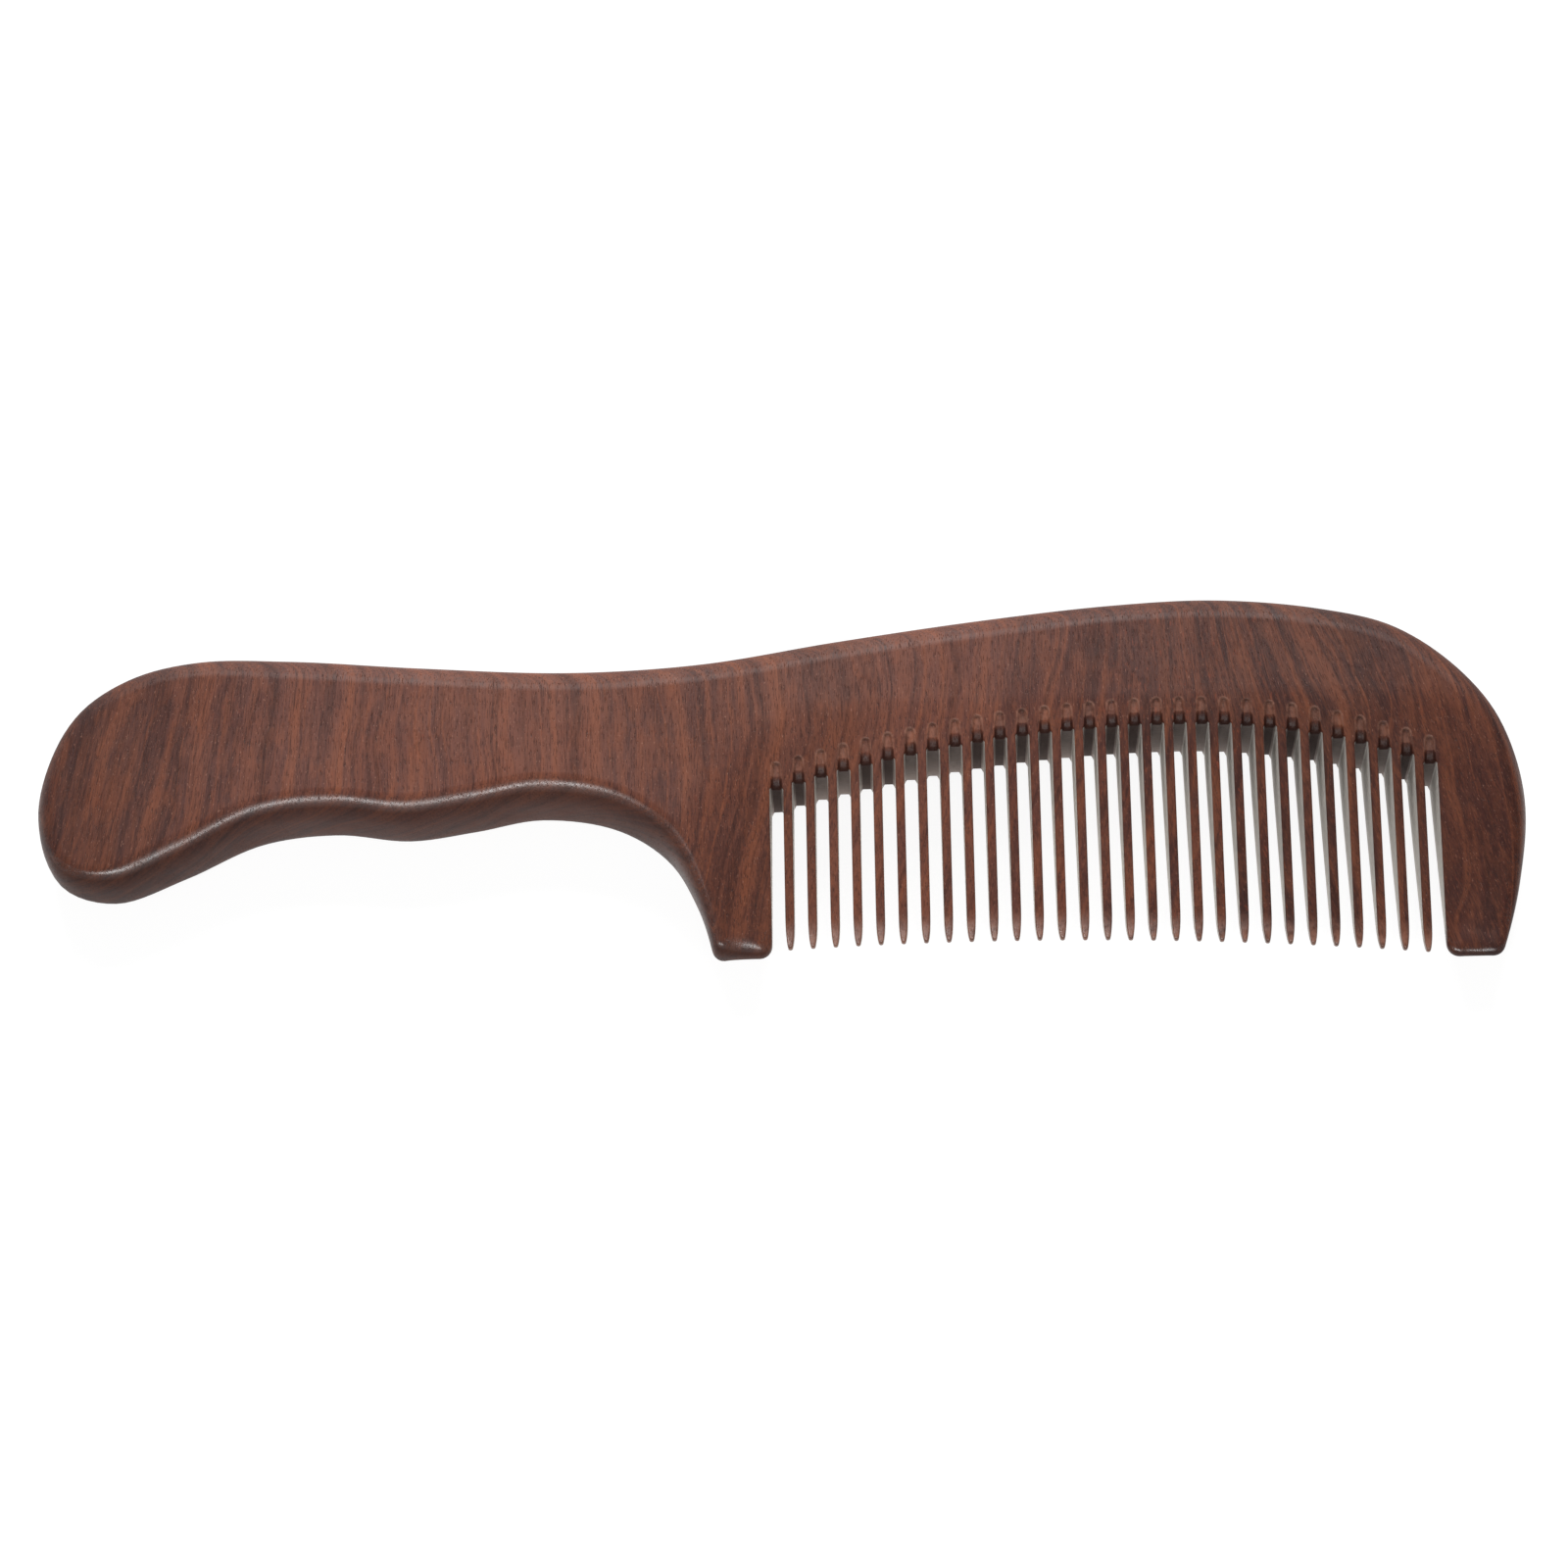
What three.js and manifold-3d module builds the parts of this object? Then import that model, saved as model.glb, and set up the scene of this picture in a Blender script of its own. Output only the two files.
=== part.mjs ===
// Hair comb carved from one wooden blank: a shaped handle, a thick back and one row of fine teeth.
// Millimetres. The comb lies flat: X runs from the handle to the free end of the head, the teeth
// point towards -Y, and Z is the thickness. The flat underside of the handle and back is Z = 0.
// The outline is drawn with the first gap's centre line at X = 0, and the finished comb is then
// moved so that its middle stands on the origin.

import * as THREE from 'three';
import { mergeVertices } from 'three/addons/utils/BufferGeometryUtils.js';
import Module from 'manifold-3d';

// Driving dimensions.
const handleLength = 100;        // first gap to the end of the handle
const headLength = 100;          // first gap to the free end of the head
const thickness = 12;            // handle and back
const edgeRadius = 4.5;          // rounding of the long edges of the handle and back
const toothCount = 29;           // fine teeth between the two guards
const gapWidth = 1.8;            // slot between two teeth
const freeGuardWidth = 12.7;     // last gap's centre line to the free end
const rootHeight = 5.4;          // highest gap root, above the drawing's X axis
const rootHandleRadius = 188;    // arch that the gap roots follow, from its top towards the handle
const rootFreeRadius = 91;       // the same arch, from its top towards the free end
const rootArchPlace = 54;        // X of the arch's highest point
const tipHeight = -23.3;         // highest tooth tip
const tipArchRadius = 580;       // shallow arch that the tooth tips follow
const tipArchPlace = 28;         // X of the tip arch's highest point
const tipThickness = 2;          // teeth at their tips
const tipTaper = 3.5;            // length over which a tooth narrows to its tip
const tipRadius = 0.38;          // rounded end of a tooth
const handleGuardFoot = -25;     // lowest edge of the guard beside the handle
const freeGuardFoot = -26.9;     // lowest edge of the guard at the free end
const guardCorner = 1.8;         // rounding of a guard's lower corners
const shoulderHeight = 10;       // where the faces start to slope towards the teeth
const shoulderBlend = 7.5;       // length of the slope's rounded start
const neckSlant = 1.2;           // how steeply the slope runs out into the handle
const notchRise = 3.4;           // round run-out above each gap root, on both faces
const notchDepth = 1;            // depth of the run-out where it meets the root
const notchInset = 0.1;          // run-out is this much narrower than the gap on each side
const handleSeam = -16;          // plane between the handle and the back
const seamDrop = 0.5;            // teeth and guards meet the back this far below the gap roots
const heelThickness = 8;         // handle at its very end
const heelTaper = 36;            // length over which the handle thins to its end

// How finely the curves are cut.
const outlineSteps = 110;
const edgeSteps = 4;
const slopeSteps = 8;
const heelSteps = 6;
const notchSides = 10;
const margin = 5;                // cutters pass the wood by this much

// Sizes that follow from them.
const pitch = (headLength - freeGuardWidth) / toothCount;
const toothWidth = pitch - gapWidth;
const middle = thickness / 2;
const lowestCut = tipHeight - 15;

// Edge of the handle from the neck round to its top: [share of the handle's length, height].
const handleEdge = [
  [0.08, -30], [0.09, -23.5], [0.11, -17], [0.15, -9.9],
  [0.22, -5.1], [0.32, -3.3], [0.41, -4.8], [0.5, -5.95],
  [0.6, -4.8], [0.7, -6], [0.8, -10.75], [0.895, -14.3],
  [0.968, -12], [1, -3.2], [0.985, 6], [0.948, 12.4],
  [0.88, 16.9], [0.79, 19], [0.66, 18.8], [0.48, 17.3],
  [0.28, 16.1], [0.1, 16.9],
];

// Edge of the head from the handle round to the free end: [share of the head's length, height].
const headEdge = [
  [0.08, 19.7], [0.28, 22.4], [0.46, 24.2], [0.6, 24.6],
  [0.74, 23], [0.84, 20.1], [0.92, 14], [0.975, 6],
  [1, -5], [0.985, -17], [0.955, -27], [0.93, -33],
];

const wasm = await Module();
wasm.setup();

// Closed three.js geometry to a solid that can be cut.
function solidOf(geometry) {
  const bare = geometry.clone();
  bare.deleteAttribute('normal');
  bare.deleteAttribute('uv');
  const merged = mergeVertices(bare, 1e-5);
  const vertProperties = new Float32Array(merged.attributes.position.array);
  const triVerts = new Uint32Array(merged.index.array);
  return new wasm.Manifold(new wasm.Mesh({ numProp: 3, vertProperties, triVerts }));
}

// Solid back to a three.js geometry.
function geometryOf(solid) {
  const mesh = solid.getMesh();
  const geometry = new THREE.BufferGeometry();
  geometry.setAttribute('position', new THREE.BufferAttribute(mesh.vertProperties, 3));
  geometry.setIndex(new THREE.BufferAttribute(mesh.triVerts, 1));
  geometry.computeVertexNormals();
  return geometry;
}

// Straight prism of a shape drawn in XY, through the whole thickness and a little past it.
function throughPrism(shape) {
  const depth = thickness + 2 * margin;
  const geometry = new THREE.ExtrudeGeometry(shape, { depth, bevelEnabled: false, curveSegments: 6 });
  geometry.translate(0, 0, -margin);
  return solidOf(geometry);
}

function polygon(points) {
  return new THREE.Shape(points.map(([x, y]) => new THREE.Vector2(x, y)));
}

// Height of an arch at x, from its highest point and its radius.
function archHeight(x, place, top, radius) {
  return top - radius + Math.sqrt(radius ** 2 - (x - place) ** 2);
}

function rootAt(x) {
  const radius = x < rootArchPlace ? rootHandleRadius : rootFreeRadius;
  return archHeight(x, rootArchPlace, rootHeight, radius);
}

function tipAt(x) {
  return archHeight(x, tipArchPlace, tipHeight, tipArchRadius);
}

// The blank: the whole outline with rounded long edges. Below the teeth's line it is still a plain
// board, with straight sides down to its foot.
function makeBlank() {
  const points = [
    ...handleEdge.map(([share, y]) => new THREE.Vector3(-share * handleLength, y, 0)),
    ...headEdge.map(([share, y]) => new THREE.Vector3(share * headLength, y, 0)),
  ];
  const edge = new THREE.CatmullRomCurve3(points, false, 'centripetal');
  const outline = edge.getSpacedPoints(outlineSteps).map((p) => [p.x, p.y]);
  const foot = lowestCut - margin;
  const shape = polygon([[outline[0][0], foot], ...outline, [outline[outlineSteps][0], foot]]);
  const geometry = new THREE.ExtrudeGeometry(shape, {
    depth: thickness - 2 * edgeRadius,
    bevelThickness: edgeRadius,
    bevelSize: edgeRadius,
    bevelOffset: -edgeRadius,
    bevelSegments: edgeSteps,
  });
  geometry.translate(0, 0, edgeRadius);
  return solidOf(geometry);
}

// Half thickness of the head at a height: full at the back, sloping down to the tips.
const slope = new THREE.QuadraticBezierCurve(
  new THREE.Vector2(shoulderHeight, middle),
  new THREE.Vector2(shoulderHeight - shoulderBlend, middle),
  new THREE.Vector2(tipHeight, tipThickness / 2),
);

function faceAt(y) {
  const a = slope.v0.x - 2 * slope.v1.x + slope.v2.x;
  const b = slope.v1.x - slope.v0.x;
  const c = slope.v0.x - y;
  if (c <= 0) {
    return middle;
  }
  return slope.getPoint((-b - Math.sqrt(b * b - a * c)) / a).y;
}

// Cross-section of the head's two sloping faces: [height, distance from the middle].
function slopeSection(high) {
  const upper = slope.getPoints(slopeSteps).map((p) => [p.x, p.y]);
  const lower = upper.map(([y, z]) => [y, -z]).reverse();
  const low = lowestCut - margin;
  const tip = tipThickness / 2;
  return [[high, middle], ...upper, [low, tip], [low, -tip], ...lower, [high, -middle]];
}

// The sloping faces as one long bar, in two lengths that meet at X = 0. The length under the
// handle slants down, so that the slope runs out below the neck.
function makeSlope() {
  const start = -handleLength - margin;
  const end = headLength + margin;
  const high = end - neckSlant * start;
  const section = polygon(slopeSection(high).map(([y, z]) => [z, y]));
  const bar = new THREE.ExtrudeGeometry(section, { depth: 2, steps: 2, bevelEnabled: false });
  bar.rotateY(Math.PI / 2);
  const place = bar.attributes.position;
  for (let i = 0; i < place.count; i += 1) {
    const station = Math.round(place.getX(i));
    const x = [start, 0, end][station];
    place.setXYZ(i, x, place.getY(i) + neckSlant * Math.min(x, 0), place.getZ(i) + middle);
  }
  return solidOf(bar);
}

// The handle's faces close in towards its end. This bar holds the wood between them.
function makeHeel() {
  const start = -handleLength - margin;
  const end = headLength + margin;
  const curve = new THREE.QuadraticBezierCurve(
    new THREE.Vector2(-handleLength, heelThickness / 2),
    new THREE.Vector2(-handleLength + heelTaper / 2, middle),
    new THREE.Vector2(-handleLength + heelTaper, middle),
  );
  const upper = [[start, heelThickness / 2], ...curve.getPoints(heelSteps).map((p) => [p.x, p.y])];
  upper.push([end, middle]);
  const lower = upper.map(([x, z]) => [x, -z]).reverse();
  const depth = 2 * handleLength;
  const bar = new THREE.ExtrudeGeometry(polygon([...upper, ...lower]), { depth, bevelEnabled: false });
  bar.rotateX(Math.PI / 2);
  bar.translate(0, depth / 2, middle);
  return solidOf(bar);
}

// Gap number 0 lies beside the handle's guard, and gap number toothCount beside the free guard.
function gapX(number) {
  return number * pitch;
}

// A tooth's seam with the back lies a little below the lower of its two neighbouring gap roots.
function seamBetween(leftGap) {
  return Math.min(rootAt(gapX(leftGap)), rootAt(gapX(leftGap + 1))) - seamDrop;
}

function guardSeam(gap) {
  return rootAt(gapX(gap)) - seamDrop;
}

// Lower limit of the back: flat over each gap, and flat over each tooth and guard.
function backRegion() {
  const points = [[handleSeam, guardSeam(0)]];
  for (let gap = 0; gap <= toothCount; gap += 1) {
    const left = gapX(gap) - gapWidth / 2;
    const right = gapX(gap) + gapWidth / 2;
    const before = gap === 0 ? guardSeam(0) : seamBetween(gap - 1);
    const after = gap === toothCount ? guardSeam(toothCount) : seamBetween(gap);
    points.push([left, before], [left, rootAt(gapX(gap))], [right, rootAt(gapX(gap))], [right, after]);
  }
  points.push([headLength + margin, guardSeam(toothCount)]);
  points.push([headLength + margin, shoulderHeight + headLength]);
  points.push([handleSeam, shoulderHeight + headLength]);
  return throughPrism(polygon(points));
}

// Round run-outs above a gap root, one rising to each face.
function notchPair(gap) {
  const radius = gapWidth / 2 - notchInset;
  const root = rootAt(gapX(gap));
  const floor = faceAt(root) - notchDepth;
  const slant = Math.atan2(faceAt(root + notchRise) - floor, notchRise);
  const cutter = new THREE.CylinderGeometry(radius, radius, 4 * notchRise, notchSides);
  const sides = [1, -1].map((side) => {
    const geometry = cutter.clone();
    geometry.rotateX(side * slant);
    geometry.translate(gapX(gap), root, middle + side * (floor + radius / Math.cos(slant)));
    return solidOf(geometry);
  });
  return sides[0].add(sides[1]);
}

// One tooth: straight sides, then a short taper to a round end.
function toothPrism(number) {
  const x = gapX(number - 1) + pitch / 2;
  const half = toothWidth / 2;
  const tip = tipAt(x);
  const seam = seamBetween(number - 1);
  const shape = new THREE.Shape();
  shape.moveTo(x - half, seam);
  shape.lineTo(x - half, tip + tipTaper);
  shape.absarc(x, tip + tipRadius, tipRadius, Math.PI, 2 * Math.PI);
  shape.lineTo(x + half, tip + tipTaper);
  shape.lineTo(x + half, seam);
  return throughPrism(shape);
}

// A guard's region: from outerX, outside the wood, to its straight inner side beside the last gap.
function guardPrism(outerX, innerX, foot) {
  const seam = guardSeam(outerX < innerX ? 0 : toothCount);
  const side = Math.sign(outerX - innerX);
  const shape = new THREE.Shape();
  shape.moveTo(innerX, seam);
  shape.lineTo(innerX, foot + guardCorner);
  shape.quadraticCurveTo(innerX, foot, innerX + side * guardCorner, foot);
  shape.lineTo(outerX, foot);
  shape.lineTo(outerX, seam);
  return throughPrism(shape);
}

function handleRegion() {
  const far = -handleLength - margin;
  const high = handleLength;
  return throughPrism(polygon([[far, -high], [handleSeam, -high], [handleSeam, high], [far, high]]));
}

// Oiled brown wood, a little paler where the teeth are cut.
const handleWood = { color: 0x6d4a41, roughness: 0.5, metalness: 0 };
const backWood = { color: 0x6e4d44, roughness: 0.5, metalness: 0 };
const toothWood = { color: 0x75564d, roughness: 0.55, metalness: 0 };

const comb = new THREE.Group();

function addNode(name, solid, look) {
  const mesh = new THREE.Mesh(geometryOf(solid), new THREE.MeshStandardMaterial(look));
  mesh.name = name;
  comb.add(mesh);
}

const blank = makeBlank();
const shaped = blank.intersect(makeSlope()).intersect(makeHeel());

addNode('handle', shaped.intersect(handleRegion()), handleWood);

let back = shaped.intersect(backRegion());
for (let gap = 0; gap <= toothCount; gap += 1) {
  back = back.subtract(notchPair(gap));
}
addNode('back', back, backWood);

const handleGuard = guardPrism(handleSeam, gapX(0) - gapWidth / 2, handleGuardFoot);
addNode('handle_guard', shaped.intersect(handleGuard), toothWood);

for (let number = 1; number <= toothCount; number += 1) {
  const name = `tooth_${String(number).padStart(2, '0')}`;
  addNode(name, shaped.intersect(toothPrism(number)), toothWood);
}

const freeGuard = guardPrism(headLength + margin, gapX(toothCount) + gapWidth / 2, freeGuardFoot);
addNode('free_guard', shaped.intersect(freeGuard), toothWood);

// The comb's middle stands on the origin.
const box = new THREE.Box3().setFromObject(comb);
comb.position.set(-(box.min.x + box.max.x) / 2, -(box.min.y + box.max.y) / 2, -box.min.z);

export default comb;
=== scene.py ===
"""Hair comb carved from one wooden blank, lying on a pale floor: its smooth surface, wood and light.

Lengths in the shape's own code are millimetres in the drawing frame of the CAD part: the first gap's
centre line is X = 0, the comb's middle plane is Z = 0, and the teeth point towards -Y.
"""

import math

import bmesh
import bpy
import numpy as np
from mathutils import Matrix, Vector
from mathutils.geometry import delaunay_2d_cdt


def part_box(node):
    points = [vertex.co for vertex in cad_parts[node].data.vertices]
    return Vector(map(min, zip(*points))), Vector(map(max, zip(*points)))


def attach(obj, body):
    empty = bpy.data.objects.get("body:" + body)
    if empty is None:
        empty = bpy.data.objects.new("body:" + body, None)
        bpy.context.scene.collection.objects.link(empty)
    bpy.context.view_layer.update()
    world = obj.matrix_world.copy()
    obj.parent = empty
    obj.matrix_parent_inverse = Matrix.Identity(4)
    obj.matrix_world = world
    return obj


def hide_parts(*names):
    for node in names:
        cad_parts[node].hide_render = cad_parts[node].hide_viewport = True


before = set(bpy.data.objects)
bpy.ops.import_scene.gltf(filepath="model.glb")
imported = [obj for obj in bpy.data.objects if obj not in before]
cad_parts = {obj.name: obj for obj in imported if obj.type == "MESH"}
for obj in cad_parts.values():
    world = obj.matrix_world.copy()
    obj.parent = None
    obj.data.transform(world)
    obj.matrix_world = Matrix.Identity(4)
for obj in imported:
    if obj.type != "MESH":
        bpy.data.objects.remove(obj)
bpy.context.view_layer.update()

MM = 0.001

# ---------------------------------------------------------------- sizes taken from the frame


def box_mm(node):
    lo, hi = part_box(node)
    return np.array(lo) / MM, np.array(hi) / MM


TEETH = sorted(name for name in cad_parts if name.startswith("tooth_"))
TOOTH_BOXES = [box_mm(name) for name in TEETH]
TOOTH_X = [(lo[0] + hi[0]) / 2 for lo, hi in TOOTH_BOXES]
PITCH = (TOOTH_X[-1] - TOOTH_X[0]) / (len(TEETH) - 1)
TOOTH_WIDTH = TOOTH_BOXES[0][1][0] - TOOTH_BOXES[0][0][0]
GAP_WIDTH = PITCH - TOOTH_WIDTH
THICKNESS = box_mm("back")[1][2] - box_mm("back")[0][2]
HALF = THICKNESS / 2
FIRST_GAP = TOOTH_X[0] - PITCH / 2
SEAM_X = box_mm("handle")[1][0] - FIRST_GAP
HANDLE_LENGTH = FIRST_GAP - box_mm("handle")[0][0]
HEAD_LENGTH = box_mm("free_guard")[1][0] - FIRST_GAP
GAPS = len(TEETH) + 1
LAST_GAP = (GAPS - 1) * PITCH

# ---------------------------------------------------------------- the comb's drawing

# Edge of the handle from the neck round to its top: (share of the handle's length, height).
HANDLE_EDGE = [
    (0.08, -30), (0.09, -23.5), (0.11, -17), (0.15, -9.9),
    (0.22, -5.1), (0.32, -3.3), (0.41, -4.8), (0.5, -5.95),
    (0.6, -4.8), (0.7, -6), (0.8, -10.75), (0.895, -14.3),
    (0.968, -12), (1, -3.2), (0.985, 6), (0.948, 12.4),
    (0.88, 16.9), (0.79, 19), (0.66, 18.8), (0.48, 17.3),
    (0.28, 16.1), (0.1, 16.9),
]
# Edge of the head from the handle round to the free end: (share of the head's length, height).
HEAD_EDGE = [
    (0.08, 19.7), (0.28, 22.4), (0.46, 24.2), (0.6, 24.6),
    (0.74, 23), (0.84, 20.1), (0.92, 14), (0.975, 6),
    (1, -5), (0.985, -17), (0.955, -27), (0.93, -33),
]
# Place and height of an arch's top, and its radius towards the handle and towards the free end.
ROOT_ARCH = (54, 5.4, 188, 91)
TIP_ARCH = (28, -23.3, 580, 580)
TIP_HALF = 1.0                      # half thickness at the tips
SHOULDER = 10                       # height where the faces start to slope
SHOULDER_BLEND = 7.5                # height over which they bend into the slope
NECK_SLANT = 1.2                    # rise of the shoulder for each millimetre towards the neck
NECK_BLEND = 6                      # length over which the slope bends into the neck
TOOTH_TAPER = 3.8                   # length over which a tooth narrows to its tip
TOOTH_TIP_RADIUS = 0.34
THIN_TIP = 0.5                      # share of the thickness shaved off at the very tips
NOTCH_RISE = 3.5                    # run-out above each gap root, on both faces
NOTCH_SHELF = 0.34                  # depth of its nearly flat upper part
NOTCH_DEPTH = 0.95                  # depth where it turns into the gap's end
NOTCH_TOP = 0.62                    # half width at its round top
NOTCH_FOOT = GAP_WIDTH / 2 - 0.06   # half width at its lower end
SEAM_DROP = 0.5                     # the back's seams lie this far below the gap roots
HEEL_HALF = 4.0                     # half thickness at the handle's very end
HEEL_TAPER = 36                     # length over which the handle thins to its end


def arch(x, place, top, handle_radius, free_radius):
    radius = np.where(x < place, handle_radius, free_radius)
    return top - radius + np.sqrt(radius**2 - (x - place) ** 2)


def root_at(x):
    return arch(x, *ROOT_ARCH)


def tip_at(x):
    return arch(x, *TIP_ARCH)


def smooth_min(a, b, blend):
    mix = np.clip(0.5 + 0.5 * (b - a) / blend, 0, 1)
    return b + (a - b) * mix - blend * mix * (1 - mix)


def smooth_step(x, low, high):
    t = np.clip((x - low) / (high - low), 0, 1)
    return t * t * (3 - 2 * t)


def board_half(x, y):
    """Half thickness of the wood between its rounded edges, without the gaps' run-outs."""
    past_neck = smooth_min(x, 0 * x, NECK_BLEND)
    height = y - NECK_SLANT * past_neck
    # The slope is a curve of second order that leaves the flat at the shoulder; t is the place on it.
    a = SHOULDER - 2 * (SHOULDER - SHOULDER_BLEND) + TIP_ARCH[1]
    b = -SHOULDER_BLEND
    c = np.maximum(SHOULDER - height, 0)
    t = np.clip((-b - np.sqrt(b * b - a * c)) / a, 0, 1)
    slope = HALF * (1 - t * t) + TIP_HALF * t * t
    heel = np.clip((-x - (HANDLE_LENGTH - HEEL_TAPER)) / HEEL_TAPER, 0, 1)
    thin = HALF - (HALF - HEEL_HALF) * heel * heel
    return np.minimum(slope, thin)


def thinned_tip(x, y):
    """Share of the thickness left where a tooth is shaved towards its tip."""
    between_guards = (x > GAP_WIDTH / 2) & (x < LAST_GAP - GAP_WIDTH / 2)
    left = 1 - np.clip((y - tip_at(x)) / TOOTH_TAPER, 0, 1)
    return np.where(between_guards, 1 - THIN_TIP * left**2, 1)


def run_out(x, y):
    """Where a place is in the nearest gap's run-out: distance below its top, distance inside its
    round-topped edge, and its half width there."""
    middle = np.clip(np.round(x / PITCH), 0, GAPS - 1) * PITCH
    across = np.abs(x - middle)
    below_top = root_at(middle) + NOTCH_RISE - y
    width = NOTCH_TOP + (NOTCH_FOOT - NOTCH_TOP) * np.clip(below_top / NOTCH_RISE, 0, 1)
    inside = np.where(below_top < width, width - np.hypot(across, width - below_top), width - across)
    return below_top, inside, width


def face_height(x, y):
    """Height of the front face above the middle plane, run-outs included."""
    half = board_half(x, y) * thinned_tip(x, y)
    below_top, inside, _ = run_out(x, y)
    shelf = NOTCH_SHELF * smooth_step(inside, -0.05, 0.42)
    ramp = np.clip((below_top - 0.5 * NOTCH_RISE) / (0.5 * NOTCH_RISE), 0, 1)
    deep = (NOTCH_DEPTH - NOTCH_SHELF) * ramp**2 * smooth_step(inside, 0, 0.3)
    reached = (below_top > -0.1) & (below_top < NOTCH_RISE + 2) & (inside > -0.05)
    return np.where(reached, half - shelf - deep, half)


# ---------------------------------------------------------------- outline of the comb


def catmull_rom(points, steps):
    """Centripetal curve through the points, end points included."""
    p = [np.array(q, float) for q in points]
    p = [2 * p[0] - p[1]] + p + [2 * p[-1] - p[-2]]
    out = []
    for a, b, c, d in zip(p, p[1:], p[2:], p[3:]):
        knots = [0.0]
        for u, v in ((a, b), (b, c), (c, d)):
            knots.append(knots[-1] + math.sqrt(np.linalg.norm(v - u)))
        k0, k1, k2, k3 = knots
        for t in np.linspace(k1, k2, steps, endpoint=False):
            ab = a + (b - a) * (t - k0) / (k1 - k0)
            bc = b + (c - b) * (t - k1) / (k2 - k1)
            cd = c + (d - c) * (t - k2) / (k3 - k2)
            abc = ab + (bc - ab) * (t - k0) / (k2 - k0)
            bcd = bc + (cd - bc) * (t - k1) / (k3 - k1)
            out.append(abc + (bcd - abc) * (t - k1) / (k2 - k1))
    out.append(p[-2])
    return np.array(out)


def evenly(points, step):
    """The same polyline with points at an even spacing near step."""
    lengths = np.linalg.norm(np.diff(points, axis=0), axis=1)
    along = np.concatenate([[0], np.cumsum(lengths)])
    count = max(2, int(round(along[-1] / step)) + 1)
    places = np.linspace(0, along[-1], count)
    return np.stack([np.interp(places, along, points[:, k]) for k in (0, 1)], axis=1)


def rounded(corner, before, after, radius, steps=6):
    """Points of a round corner between two straight directions."""
    corner, before, after = (np.array(v, float) for v in (corner, before, after))
    u = (before - corner) / np.linalg.norm(before - corner)
    v = (after - corner) / np.linalg.norm(after - corner)
    half = math.acos(np.clip(u @ v, -1, 1)) / 2
    reach = radius / math.tan(half)
    middle = corner + (u + v) / np.linalg.norm(u + v) * radius / math.sin(half)
    start, end = corner + u * reach - middle, corner + v * reach - middle
    angle = math.atan2(start[0] * end[1] - start[1] * end[0], start @ end)
    turn = np.linspace(0, angle, steps + 1)
    cos, sin = np.cos(turn), np.sin(turn)
    return middle + np.stack([start[0] * cos - start[1] * sin, start[0] * sin + start[1] * cos], axis=1)


def corner_length(before, after, radius):
    """Length that a round corner takes off each of its two sides."""
    cosine = before @ after / np.linalg.norm(before) / np.linalg.norm(after)
    return radius / math.tan(math.acos(np.clip(cosine, -1, 1)) / 2)


def from_height(points, height):
    """The polyline from where it first rises past a height."""
    k = int(np.argmax(points[:, 1] > height))
    a, b = points[k - 1], points[k]
    start = a + (b - a) * (height - a[1]) / (b[1] - a[1])
    return np.vstack([start, points[k:]])


def trimmed(points, length):
    """The polyline without its first length."""
    along = np.concatenate([[0], np.cumsum(np.linalg.norm(np.diff(points, axis=0), axis=1))])
    keep = along > length
    start = [np.interp(length, along, points[:, k]) for k in (0, 1)]
    return np.vstack([start, points[keep]])


LIFT_Y = TOOTH_BOXES[0][0][1] - float(tip_at(PITCH / 2))     # the drawing's X axis in the frame
FOOT_HANDLE = box_mm("handle_guard")[0][1] - LIFT_Y
FOOT_FREE = box_mm("free_guard")[0][1] - LIFT_Y
CURVE_STEPS = 14                    # points between two given points of the outer edge
OUTLINE_STEP = 1.3
SIDE_STEPS = 9                      # points along a straight side of a tooth
SHORTEST_STEP = 0.05                # nearer points of the outline are merged
FOOT_CORNER = 1.7
ROOT_CORNER = 0.38

UP, DOWN, RIGHT, LEFT = (np.array(v, float) for v in ((0, 1), (0, -1), (1, 0), (-1, 0)))

# Width of the rounding across the face.
WALL_ROUNDING = 0.28                # at the gaps
FOOT_ROUNDING = 1.0                 # at the inner corners of the guards' feet
FOOT_FADE = 4                       # height over which the second becomes the first
BEVEL, BEVEL_BULGE = 1.5, 1.3       # under a guard, and how much wider in the middle of its foot
EDGE_ROUNDING = ([FOOT_FREE, -14, 2, 16], [1.5, 2.6, 3.8, 4.3])     # outer edge: (heights, widths)
HEEL_ROUNDING, MORE_ROUNDING = 3.4, 1.6                             # its limit, and the limit's rise
HEEL_END, RISE_END = 5, 55          # lengths from the handle's end between which the limit rises
RIDGE_WIDTH = 3.5
RIDGE_START = (0.95, 0.82)          # shares of the handle's length where the ridge begins and is full
RIDGE_STOP = (0.3, 0.16)            # and where it starts to fade and ends


class Boundary:
    """The closed outline, walked with the wood on its left, and how its edge is rounded."""

    def __init__(self):
        self.runs = []

    def add(self, points, reach, drop, ridge=0.0):
        """reach and drop are the rounding's size across the face and down the wall. A drop of 0
        rounds the edge off nearly to the middle plane."""
        points = np.atleast_2d(points)
        self.runs.append([points] + [np.zeros(len(points)) + value for value in (reach, drop, ridge)])

    def add_gap_side(self, points, reach=WALL_ROUNDING):
        """A stretch of a gap's wall, its edge rounded alike across the face and down the wall."""
        self.add(points, reach, reach)

    def arrays(self):
        points, reach, drop, ridge = (np.concatenate(column) for column in zip(*self.runs))
        step = np.linalg.norm(points - np.roll(points, 1, axis=0), axis=1)
        keep = step > SHORTEST_STEP
        return points[keep], reach[keep], drop[keep], ridge[keep]


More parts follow.
